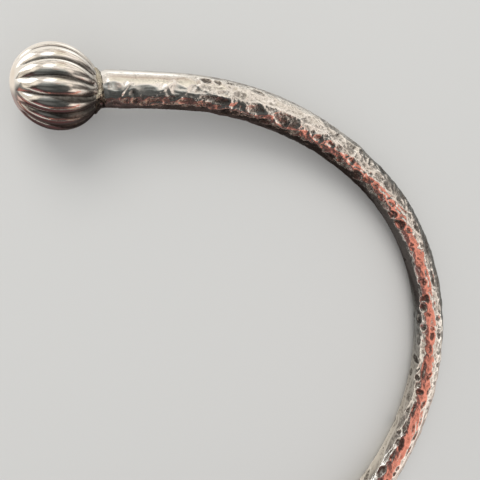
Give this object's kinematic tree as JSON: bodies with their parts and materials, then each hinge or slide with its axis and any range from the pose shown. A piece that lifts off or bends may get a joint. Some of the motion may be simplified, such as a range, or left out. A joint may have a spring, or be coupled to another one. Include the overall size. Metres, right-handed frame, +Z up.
{
  "type": "open cuff bracelet",
  "caption": "Open silver cuff bracelet: a hammered round bar bent to an oval C, with a fluted ball soldered on each end.",
  "frame": {"origin": "centre of the footprint, on the surface that the cuff lies on", "axes": "+Z up, +Y along the cuff's width from one ball to the other, +X from the open mouth to the back"},
  "size_m": [0.0556, 0.0704, 0.0084],
  "materials": {
    "hammered_silver": "hammered and polished silver, darkened in the hammer marks",
    "fluted_silver": "polished silver, darkened in the creases between the flutes",
    "solder_silver": "silver solder, slightly yellow, uneven and satin"
  },
  "bodies": {
    "root": {"cuff": "hammered_silver"}
  },
  "joints": []
}
